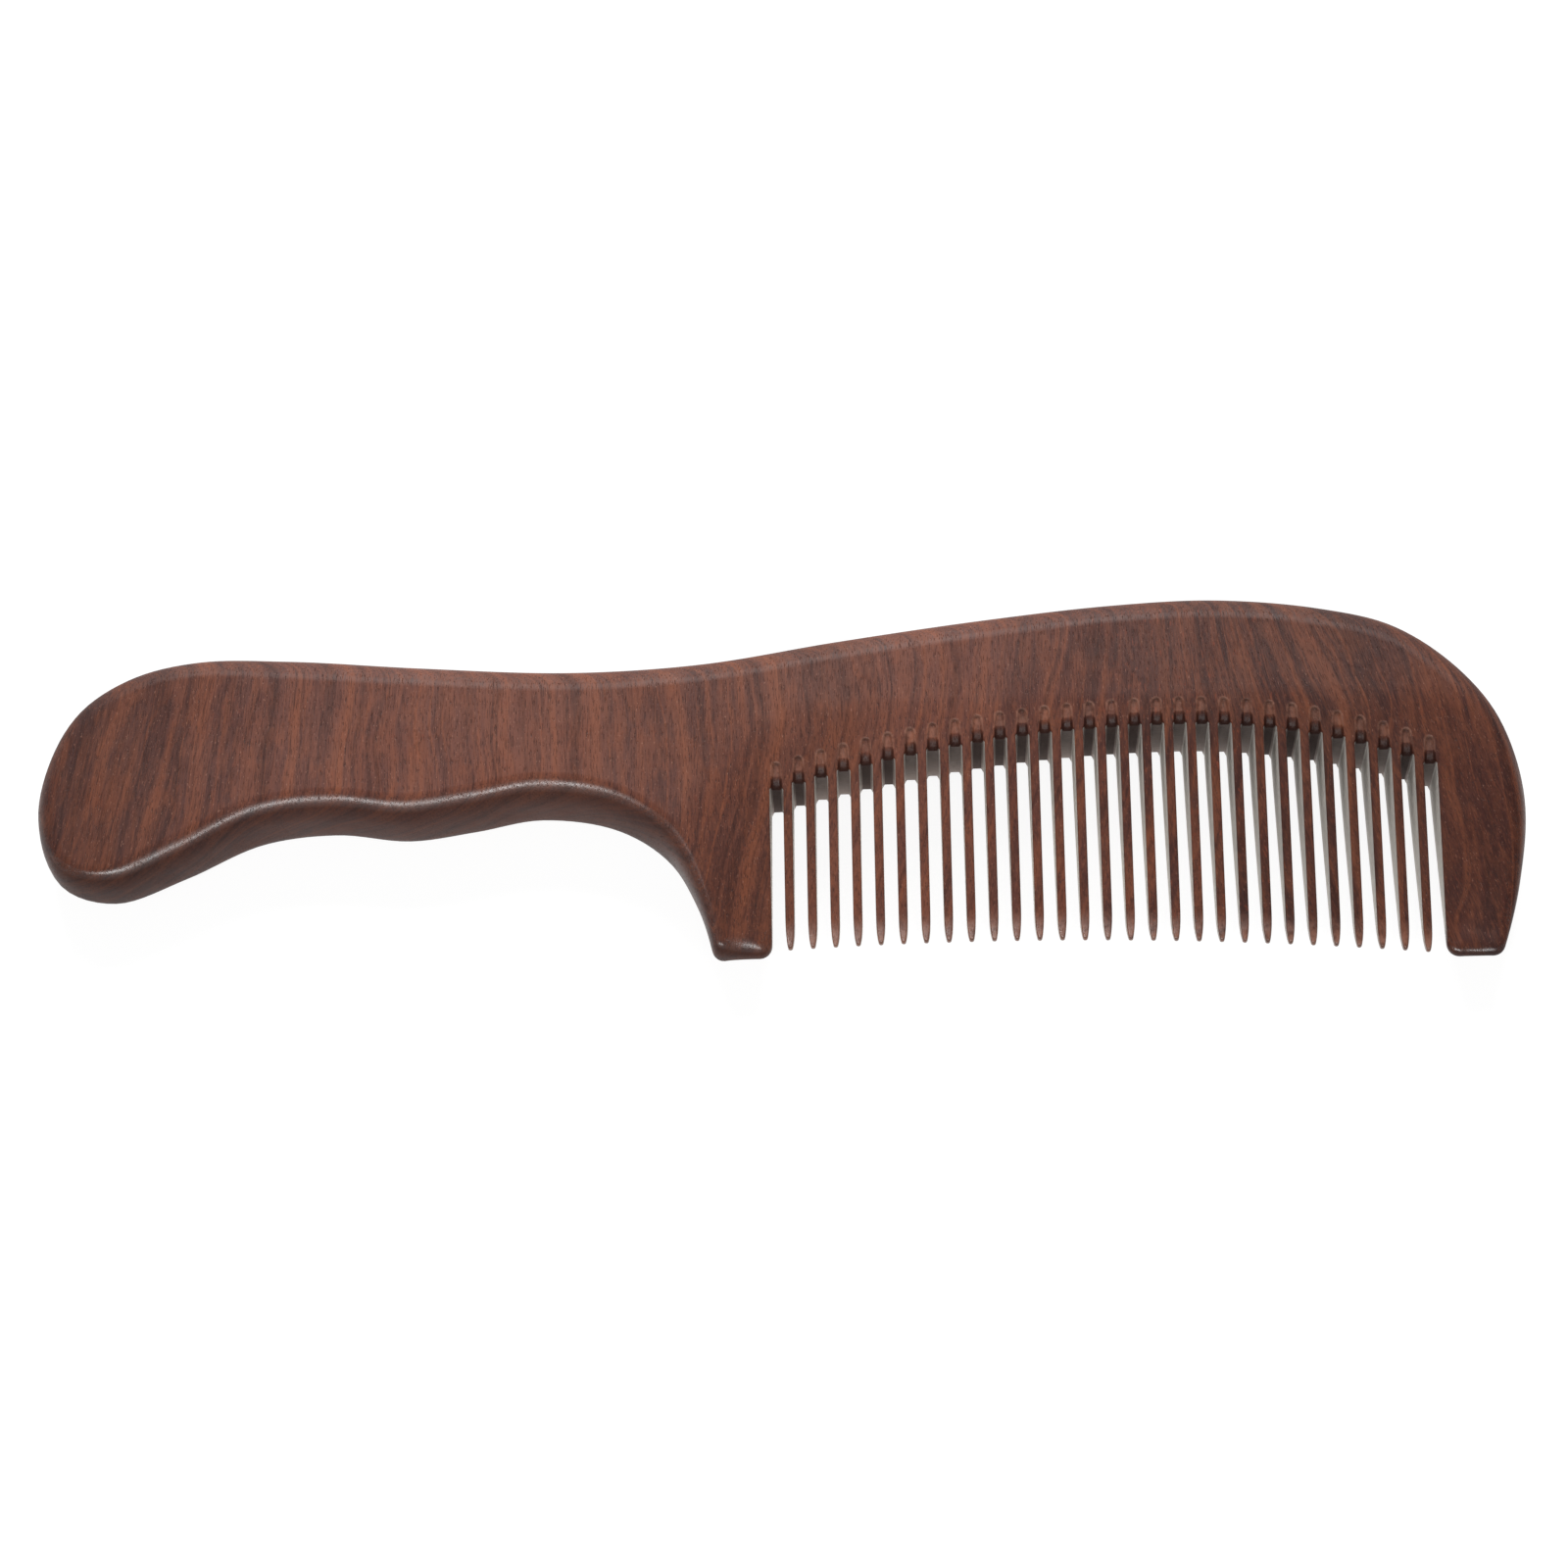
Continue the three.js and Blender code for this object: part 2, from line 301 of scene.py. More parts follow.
def outer_edge():
    """The outer curve from the free guard's foot, over the back and round the handle, to the neck."""
    curve = [(-share * HANDLE_LENGTH, y) for share, y in HANDLE_EDGE]
    curve += [(share * HEAD_LENGTH, y) for share, y in HEAD_EDGE]
    points = catmull_rom(curve, CURVE_STEPS)[::-1]
    x = points[:, 0]
    points[:, 0] = np.where(x < 0, x * HANDLE_LENGTH / -x.min(), x * HEAD_LENGTH / x.max())
    points = from_height(points, FOOT_FREE)
    return from_height(points[::-1], FOOT_HANDLE)[::-1]


def edge_reach(points):
    """Width of the rounding along the outer edge: broad on handle and back, fine at the feet."""
    x, y = points[:, 0], points[:, 1]
    from_end = (-HANDLE_LENGTH + HEEL_END, -HANDLE_LENGTH + RISE_END)
    widest = HEEL_ROUNDING + MORE_ROUNDING * smooth_step(x, *from_end)
    reach = np.minimum(np.interp(y, *EDGE_ROUNDING), widest)
    return reach + (RIDGE_WIDTH - reach) * edge_ridge(points)


def edge_ridge(points):
    """1 where the handle's lower edge breaks from its face in a ridge, fading to a plain rounding."""
    x, y = points[:, 0], points[:, 1]
    share = smooth_step(x, *(-place * HANDLE_LENGTH for place in RIDGE_START))
    share = share * (1 - smooth_step(x, *(-place * HANDLE_LENGTH for place in RIDGE_STOP)))
    return np.where(y < 0, share, 0)


def foot_corner(corner, before, after, boundary):
    """Adds a round corner of a guard's foot, and returns the length it takes off each side."""
    arc = rounded(corner, corner + before, corner + after, FOOT_CORNER)
    boundary.add(arc, edge_reach(arc), 0)
    return corner_length(before, after, FOOT_CORNER)


def foot_line(start, end, height, boundary):
    """The straight bottom of a guard, its bevel broadest in the middle."""
    share = np.linspace(0, 1, SIDE_STEPS)[1:-1]
    points = np.stack([start + (end - start) * share, np.full(len(share), height)], axis=1)
    boundary.add(points, BEVEL + BEVEL_BULGE * np.sin(math.pi * share) ** 0.6, 0)


def wall(x, start, end):
    """A straight side of a tooth or guard."""
    return np.stack([np.full(SIDE_STEPS, x), np.linspace(start, end, SIDE_STEPS)], axis=1)


def guard_rounding(side, low):
    """Rounding along a guard's inner side, which is broader where it meets the foot."""
    return np.interp(side[:, 1], [low, low + FOOT_FADE], [FOOT_ROUNDING, WALL_ROUNDING])


def tooth_end(x, side_half):
    """Tip of a tooth, from its left side to its right: two curves and a round nose."""
    t = np.linspace(0, 1, 6)[:, None]
    a = np.array([-side_half, TOOTH_TAPER])
    b = np.array([-side_half, 0.4 * TOOTH_TAPER])
    c = np.array([-TOOTH_TIP_RADIUS, TOOTH_TIP_RADIUS])
    left = a * (1 - t) ** 2 + 2 * b * t * (1 - t) + c * t**2
    turn = np.linspace(math.pi, 2 * math.pi, 7)[1:-1]
    nose = TOOTH_TIP_RADIUS * np.stack([np.cos(turn), 1 + np.sin(turn)], axis=1)
    right = left[::-1] * [-1, 1]
    return np.vstack([left, nose, right]) + [x, tip_at(x)]


def add_gap(gap, boundary):
    """A gap's left side, its two root corners and, but for the last gap, the tooth after it."""
    x = gap * PITCH
    root = root_at(x)
    if gap == 0:
        low = FOOT_HANDLE + FOOT_CORNER
        side = wall(x - GAP_WIDTH / 2, low, root - ROOT_CORNER)[1:]
        boundary.add_gap_side(side, guard_rounding(side, low))
    else:
        low = tip_at(x - PITCH / 2) + TOOTH_TAPER
        boundary.add_gap_side(wall(x - GAP_WIDTH / 2, low, root - ROOT_CORNER)[1:])
    corner = np.array([x - GAP_WIDTH / 2, root])
    boundary.add_gap_side(rounded(corner, corner + DOWN, corner + RIGHT, ROOT_CORNER)[1:])
    corner = np.array([x + GAP_WIDTH / 2, root])
    boundary.add_gap_side(rounded(corner, corner + LEFT, corner + DOWN, ROOT_CORNER))
    if gap < GAPS - 1:
        end = tooth_end(x + PITCH / 2, TOOTH_WIDTH / 2)
        boundary.add_gap_side(wall(x + GAP_WIDTH / 2, root - ROOT_CORNER, end[0][1])[1:-1])
        boundary.add_gap_side(end)


def make_boundary():
    """The whole outline: outer edge, handle guard's foot, gaps and teeth, free guard's foot."""
    made = Boundary()
    outer = outer_edge()
    start_direction, end_direction = outer[4] - outer[0], outer[-5] - outer[-1]
    start_length = foot_corner(outer[0], LEFT, start_direction, made)
    end_length = corner_length(end_direction, RIGHT, FOOT_CORNER)
    edge = trimmed(outer, start_length)
    edge = trimmed(edge[::-1], end_length)[::-1]
    edge = evenly(edge, OUTLINE_STEP)
    made.add(edge, edge_reach(edge), 0, edge_ridge(edge))
    foot_corner(outer[-1], end_direction, RIGHT, made)

    inner = np.array([-GAP_WIDTH / 2, FOOT_HANDLE])
    foot_line(outer[-1][0] + end_length, inner[0] - FOOT_CORNER, FOOT_HANDLE, made)
    foot_corner(inner, LEFT, UP, made)
    for gap in range(GAPS):
        add_gap(gap, made)
    low = FOOT_FREE + FOOT_CORNER
    side = wall(LAST_GAP + GAP_WIDTH / 2, root_at(LAST_GAP) - ROOT_CORNER, low)[1:-1]
    made.add_gap_side(side, guard_rounding(side, low))
    inner = np.array([LAST_GAP + GAP_WIDTH / 2, FOOT_FREE])
    foot_corner(inner, UP, RIGHT, made)
    foot_line(inner[0] + FOOT_CORNER, outer[0][0] - start_length, FOOT_FREE, made)
    return made.arrays()


# ---------------------------------------------------------------- surface of the wood

ROWS = 10                           # rows of faces over a rounding
FULLNESS = 0.8                      # 1 rounds an edge as an ellipse, less makes it fuller
RIDGE_TURN = ([0, 0.35, 0.6, 0.72, 0.97, 1], [90, 86, 68, 50, 6, 0])    # (shares, slopes in degrees)
RIDGE_STOPS = [0, 0.18, 0.34, 0.48, 0.6, 0.7, 0.77, 0.83, 0.89, 0.95, 1]
THIN_MIDDLE = 0.12                  # flat left at the middle plane where an edge is rounded right off
FILL_STEP, FILL_CLEAR = 2.4, 0.9    # points on the plain faces: spacing, and distance from the rounding
FINE_STEP, FINE_CLEAR = 0.16, 0.07  # the same at the run-outs
FINE_COLUMNS = 6                    # columns of fine points in half a run-out
SAWN_ROWS = (1, 0.6, 0.3, 0.1)      # how sawn the first rows at a gap look


def rounding_profile():
    """(across, down) shares from the outline to the face, as a plain rounding and as a ridge."""
    turn = np.linspace(0, math.pi / 2, ROWS + 1)
    plain = np.stack([1 - np.cos(turn) ** FULLNESS, np.sin(turn) ** FULLNESS], axis=1)
    fine = np.linspace(0, 1, 401)
    angle = np.interp(fine, *RIDGE_TURN)
    middle = np.radians(angle[1:] + angle[:-1]) / 2
    steps = np.stack([np.cos(middle), np.sin(middle)], axis=1)
    path = np.concatenate([[[0, 0]], np.cumsum(steps, axis=0)])
    path /= path[-1]
    ridge = np.stack([np.interp(RIDGE_STOPS, fine, path[:, k]) for k in (0, 1)], axis=1)
    return plain, ridge


def turn_left(vectors):
    return np.stack([-vectors[:, 1], vectors[:, 0]], axis=1)


def inward_normals(points):
    """Normals of a closed loop at its corners, lengthened so that its sides shift in evenly."""
    ahead = np.roll(points, -1, axis=0) - points
    ahead /= np.linalg.norm(ahead, axis=1)[:, None]
    behind = np.roll(ahead, 1, axis=0)
    normal = turn_left(ahead) + turn_left(behind)
    normal /= np.linalg.norm(normal, axis=1)[:, None]
    lean = np.clip(np.sum(normal * turn_left(ahead), axis=1), 0.5, 1)
    return normal / lean[:, None]


def distance_to(loop, points):
    """Signed distance of points to a closed loop, positive inside."""
    x, y = points.T
    best = np.full(len(points), np.inf)
    inside = np.zeros(len(points), bool)
    for (ax, ay), (bx, by) in zip(loop, np.roll(loop, -1, axis=0)):
        dx, dy = bx - ax, by - ay
        t = np.clip(((x - ax) * dx + (y - ay) * dy) / (dx * dx + dy * dy), 0, 1)
        best = np.minimum(best, np.hypot(x - ax - t * dx, y - ay - t * dy))
        if ay != by:
            crosses = (y > min(ay, by)) & (y <= max(ay, by))
            inside ^= crosses & (x < ax + (y - ay) * dx / dy)
    return np.where(inside, best, -best)


def grid(x0, x1, y0, y1, dx, dy):
    """Points of a rectangular grid."""
    xs, ys = np.arange(x0, x1, dx), np.arange(y0, y1, dy)
    return np.stack([v.ravel() for v in np.meshgrid(xs, ys)], axis=1)


def fill_points(loop):
    """Points inside the innermost row: coarse on the plain faces, fine round each run-out."""
    low, high = loop.min(axis=0), loop.max(axis=0)
    coarse = grid(low[0], high[0], low[1], high[1], FILL_STEP, FILL_STEP)
    gap = np.clip(np.round(coarse[:, 0] / PITCH), 0, GAPS - 1)
    above = coarse[:, 1] - root_at(gap * PITCH)
    beside = np.abs(coarse[:, 0] - gap * PITCH) < PITCH / 2
    near = beside & (above < NOTCH_RISE + 1.2) & (above > -3)
    coarse = coarse[(distance_to(loop, coarse) > FILL_CLEAR) & ~near]
    side = GAP_WIDTH / 2 + 0.1
    patch = grid(-side, side + 0.01, 0, NOTCH_RISE + 0.4, side / FINE_COLUMNS, FINE_STEP)
    fine = np.vstack([patch + [gap * PITCH, root_at(gap * PITCH)] for gap in range(GAPS)])
    fine = fine[distance_to(loop, fine) > FINE_CLEAR]
    return np.vstack([coarse, fine])


def edge_rows(outline, reach, drop, ridge):
    """Rows of points from the outline's side wall, over its rounding, to the face."""
    plain, broken = rounding_profile()
    inward = inward_normals(outline)
    rows = []
    for k in range(ROWS + 1):
        across = (plain[k, 0] * (1 - ridge) + broken[k, 0] * ridge) * reach
        down = plain[k, 1] * (1 - ridge) + broken[k, 1] * ridge
        flat = outline + inward * across[:, None]
        height = face_height(flat[:, 0], flat[:, 1])
        depth = np.where(drop > 0, drop, height - THIN_MIDDLE)
        rows.append(np.column_stack([flat, height - depth * (1 - down)]))
    return rows


def comb_surface():
    """The whole closed surface in the drawing's millimetres: its vertices and faces, which vertices
    are on a face away from the rounding, and how sawn each looks."""
    outline, reach, drop, ridge = make_boundary()
    rows = edge_rows(outline, reach, drop, ridge)
    count = len(outline)
    loop = rows[-1][:, :2]
    flat = [Vector(p) for p in np.vstack([loop, fill_points(loop)])]
    found = delaunay_2d_cdt(flat, [], [list(range(count))], 1, 1e-5)
    places, triangles, sources = found[0], found[2], found[3]
    inner = np.array([tuple(p) for p in places])
    height = face_height(inner[:, 0], inner[:, 1])

    front = [tuple(p) for row in rows for p in row]
    last_row = ROWS * count
    index = []
    for i, source in enumerate(sources):
        on_loop = [s for s in source if s < count]
        if on_loop:
            index.append(last_row + on_loop[0])
        else:
            index.append(len(front))
            front.append((inner[i, 0], inner[i, 1], height[i]))
    size = len(front)
    on_face = np.tile(np.arange(size) >= last_row, 2)
    sawn = np.zeros(size)
    sawn[:len(SAWN_ROWS) * count] = ((drop > 0) * np.array(SAWN_ROWS)[:, None]).ravel()
    verts = front + [(x, y, -z) for x, y, z in front]
    faces = []
    for k in range(ROWS):
        for i in range(count):
            j = (i + 1) % count
            a, b, c, d = k * count + i, k * count + j, (k + 1) * count + j, (k + 1) * count + i
            faces += [(a, b, c, d), (d + size, c + size, b + size, a + size)]
    for triangle in triangles:
        a, b, c = (index[i] for i in triangle)
        faces += [(a, b, c), (c + size, b + size, a + size)]
    for i in range(count):
        j = (i + 1) % count
        faces.append((i, i + size, j + size, j))
    return verts, faces, on_face, np.tile(sawn, 2)


# ---------------------------------------------------------------- pieces


def seam_height(gap_left, gap_right):
    return min(root_at(gap_left * PITCH), root_at(gap_right * PITCH)) - SEAM_DROP


def comb_regions():
    """(node, lowest x, highest x, highest y) of every piece below the back, handle first."""
    far = 2 * HANDLE_LENGTH
    regions = [("handle", -far, SEAM_X, far)]
    regions.append(("handle_guard", SEAM_X, 0, root_at(0) - SEAM_DROP))
    for i, name in enumerate(TEETH):
        low = i * PITCH
        regions.append((name, low, low + PITCH, seam_height(i, i + 1)))
    regions.append(("free_guard", LAST_GAP, far, root_at(LAST_GAP) - SEAM_DROP))
    return regions


def cut_plane(bm, chosen, point, normal):
    geometry = set(chosen)
    for face in chosen:
        geometry.update(face.edges)
        geometry.update(face.verts)
    bmesh.ops.bisect_plane(bm, geom=list(geometry), plane_co=point, plane_no=normal, dist=1e-5)


TIP_HIGHLIGHT = 0.85                     # strength of the painted highlight on the very tips
HIGHLIGHT_INSET, HIGHLIGHT_WIDTH = 0.08, 0.2    # the painted highlight line's place inside a run-out's edge, and its half width
FLOOR_PALE = 0.3                    # how much paler the run-out's upper floor is painted
SHADE_FROM, SHADE_OVER = 0.55, 0.2    # shares of the run-out's height where the painted shade begins, and over which it deepens


def painted_light_and_shade(co):
    """Painted light and shade: up to 1 for the painted highlight on the line round the top of a run-out
    and on the tips, less on the run-out's paler upper floor; down to -1 for the painted shade in its
    lower part."""
    if 0 < co.x < LAST_GAP and co.y < TIP_ARCH[1] / 2:
        return TIP_HIGHLIGHT * max(0.0, 1 - (co.y - float(tip_at(co.x))) / TOOTH_TAPER)
    down, inside, width = (float(v) for v in run_out(co.x, co.y))
    across = co.x - min(max(round(co.x / PITCH), 0), GAPS - 1) * PITCH
    if down < -0.4 or down > NOTCH_RISE or abs(across) > GAP_WIDTH / 2 + 0.2:
        return 0.0
    if inside > 0.1 and down > SHADE_FROM * NOTCH_RISE:
        return -min(1.0, (down / NOTCH_RISE - SHADE_FROM) / SHADE_OVER)
    fade = 1 - down / NOTCH_RISE if down > width else 1
    edge = max(0.0, 1 - abs(inside - HIGHLIGHT_INSET) / HIGHLIGHT_WIDTH) * fade
    return max(edge, FLOOR_PALE if inside > 0.1 else 0.0)


def face_normals(points):
    """Outward normals of the faces at points away from the rounded edges."""
    x, y, z = points.T
    step = 0.03
    slope_x = (face_height(x + step, y) - face_height(x - step, y)) / (2 * step)
    slope_y = (face_height(x, y + step) - face_height(x, y - step)) / (2 * step)
    normal = np.stack([-slope_x, -slope_y, np.ones(len(x))], axis=1)
    normal /= np.linalg.norm(normal, axis=1)[:, None]
    normal[:, 2] *= np.sign(z)
    return normal


def cut_on_seams(bm, regions):
    """Edges along every seam, each cut only as far as its own region goes."""
    cut_plane(bm, bm.faces[:], (SEAM_X, 0, 0), (1, 0, 0))
    for _, low, high, top in regions[1:]:
        chosen = [f for f in bm.faces
                  if low < f.calc_center_median().x < high
                  and min(v.co.y for v in f.verts) <= top <= max(v.co.y for v in f.verts)]
        cut_plane(bm, chosen, (0, top, 0), (0, 1, 0))


def region_of(centre, regions):
    for name, low, high, top in regions:
        if low < centre.x < high and centre.y < top:
            return name
    return "back"


def split_comb():
    """The whole surface cut on the CAD's seams: {node: (its vertices, its faces)}. A vertex is its
    place, its normal, how sawn it looks and its painted highlight and shade."""
    verts, faces, on_face, sawn = comb_surface()
    bm = bmesh.new()
    layer = bm.verts.layers.float.new("sawn")
    made = [bm.verts.new(v) for v in verts]
    for vert, value in zip(made, sawn):
        vert[layer] = value
    for face in faces:
        bm.faces.new([made[i] for i in face])
    regions = comb_regions()
    cut_on_seams(bm, regions)
    bm.normal_update()
    bm.verts.index_update()
    normals = np.array([v.normal for v in bm.verts])
    flat = np.zeros(len(normals), bool)
    flat[:len(on_face)] = on_face
    normals[flat] = face_normals(np.array([v.co for v in bm.verts])[flat])
    groups = {name: [] for name, *_ in regions}
    groups["back"] = []
    for face in bm.faces:
        groups[region_of(face.calc_center_median(), regions)].append(face)
    pieces = {}
    for name, group in groups.items():
        number, places, sides = {}, [], []
        for face in group:
            for v in face.verts:
                if v.index not in number:
                    number[v.index] = len(places)
                    places.append((tuple(v.co), tuple(normals[v.index]), v[layer], painted_light_and_shade(v.co)))
            sides.append([number[v.index] for v in face.verts])
        pieces[name] = (places, sides)
    bm.free()
    return pieces


def make_piece(name, places, sides):
    """A closed piece: the wood's skin with its smooth normals, and flat faces on its seams."""
    shift = Vector((FIRST_GAP, LIFT_Y, HALF))
    bm = bmesh.new()
    # Vertex layers: how sawn a place looks, and its painted highlight and shade.
    sawn_layer, light_layer = (bm.verts.layers.float.new(layer) for layer in ("sawn", "painted_highlight_shade"))
    verts = []
    for co, _, sawn, highlight_and_shade in places:
        vert = bm.verts.new((Vector(co) + shift) * MM)
        vert[sawn_layer], vert[light_layer] = sawn, highlight_and_shade
        verts.append(vert)
    for side in sides:
        bm.faces.new([verts[i] for i in side]).smooth = True
    open_edges = [e for e in bm.edges if e.is_boundary]
    for cap in bmesh.ops.holes_fill(bm, edges=open_edges)["faces"]:
        cap.smooth = False
    bm.verts.index_update()
    bm.normal_update()
    loops = []
    for number, face in enumerate(bm.faces):
        for v in face.verts:
            loops.append(places[v.index][1] if number < len(sides) else tuple(face.normal))
    mesh = bpy.data.meshes.new(name)
    bm.to_mesh(mesh)
    bm.free()
    mesh.normals_split_custom_set(loops)
    piece = bpy.data.objects.new(f"{name}_wood", mesh)
    bpy.context.collection.objects.link(piece)
    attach(piece, "root")
    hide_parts(name)
    return piece


# ---------------------------------------------------------------- wood


class Nodes:
    """Short names for building a material's nodes."""

    def __init__(self, tree):
        self.tree = tree

    def make(self, kind, **settings):
        node = self.tree.nodes.new(kind)
        for name, value in settings.items():
            setattr(node, name, value)
        return node

    def feed(self, socket, value):
        if isinstance(value, bpy.types.NodeSocket):
            self.tree.links.new(value, socket)
        else:
            socket.default_value = value

    def math(self, operation, a, b=0.0, c=0.0, clamp=False):
        node = self.make("ShaderNodeMath", operation=operation, use_clamp=clamp)
        for socket, value in zip(node.inputs, (a, b, c)):
            self.feed(socket, value)
        return node.outputs[0]

    def vector(self, x, y, z):
        node = self.make("ShaderNodeCombineXYZ")
        for socket, value in zip(node.inputs, (x, y, z)):
            self.feed(socket, value)
        return node.outputs[0]

    def split(self, vector):
        node = self.make("ShaderNodeSeparateXYZ")
        self.feed(node.inputs[0], vector)
        return tuple(node.outputs)

    def scaled(self, place, scales):
        """The vector of a place's three values, each times its own number."""
        return self.vector(*(self.math("MULTIPLY", v, number) for v, number in zip(place, scales)))

    def step(self, value, low, high, start=0.0, end=1.0):
        """Smooth change from start to end while value goes from low to high."""
        node = self.make("ShaderNodeMapRange", interpolation_type="SMOOTHSTEP")
        for name, number in (("Value", value), ("From Min", low), ("From Max", high),
                             ("To Min", start), ("To Max", end)):
            self.feed(node.inputs[name], number)
        return node.outputs["Result"]

    def noise(self, place, scale=1.0, detail=2.0, roughness=0.5, distortion=0.0):
        node = self.make("ShaderNodeTexNoise", noise_dimensions="3D")
        for name, number in (("Vector", place), ("Scale", scale), ("Detail", detail),
                             ("Roughness", roughness), ("Distortion", distortion)):
            self.feed(node.inputs[name], number)
        return node.outputs["Fac"]

    def mix(self, share, a, b, blend="MIX"):
        node = self.make("ShaderNodeMix", data_type="RGBA", blend_type=blend)
        self.feed(node.inputs["Factor"], share)
        colours = [socket for socket in node.inputs if socket.type == "RGBA"]
        self.feed(colours[0], a)
        self.feed(colours[1], b)
        return [socket for socket in node.outputs if socket.type == "RGBA"][0]

    def tint(self, colour, value, low, high, most, tone):
        """The colour, turned towards a tone by up to most while value goes from low to high."""
        return self.mix(self.step(value, low, high, 0.0, most), colour, tone)

    def ramp(self, share, stops):
        node = self.make("ShaderNodeValToRGB")
        ramp = node.color_ramp
        while len(ramp.elements) < len(stops):
            ramp.elements.new(0.5)
        for element, (place, colour) in zip(ramp.elements, stops):
            element.position = place
            element.color = colour
        self.feed(node.inputs["Fac"], share)
        return node.outputs["Color"]


TONE = (0.58, 0.525, 0.53)          # the wood is this much deeper than its lit colours below


def linear(red, green, blue):
    """Scene colour of an 8-bit screen colour."""
    values = [v / 255 for v in (red, green, blue)]
    return tuple(tone * ((v + 0.055) / 1.055) ** 2.4 for tone, v in zip(TONE, values)) + (1.0,)


# Mean colour of the oiled wood along the comb: (share of the comb's length, colour).
WOOD_ALONG = [
    (0.0, (85, 56, 50)), (0.08, (92, 61, 54)), (0.18, (111, 73, 63)), (0.27, (113, 74, 63)),
    (0.345, (127, 81, 65)), (0.4, (103, 66, 56)), (0.46, (98, 62, 52)), (0.54, (124, 81, 66)),
    (0.62, (111, 71, 60)), (0.7, (98, 62, 53)), (0.8, (83, 52, 45)), (0.9, (84, 52, 45)),
    (1.0, (84, 48, 41)),
]
# Dark grain streaks; the same colour is the painted shade on the lower side and in the run-outs.
DARK_GRAIN_AND_SHADE = linear(60, 37, 32)
WARM_STREAK = linear(152, 92, 62)
# Pale flecks of the grain; the same colour is the painted highlight round the run-outs and on the tips.
PALE_FLECK_AND_HIGHLIGHT = linear(196, 150, 128)
RED_FLECK = linear(146, 78, 54)
# Sawn grey in the gaps with painted light: darker towards the top face, paler towards the floor and
# palest on the teeth's sides, a painted reflection of the pale floor.
SAWN_SHADED = linear(150, 146, 140)
SAWN_FLOOR_LIT = linear(236, 230, 222)
SAWN_SIDE_REFLECTION = (0.86, 0.83, 0.78, 1)
SMUDGE = (44, 16)                   # dark spot on the back, its middle


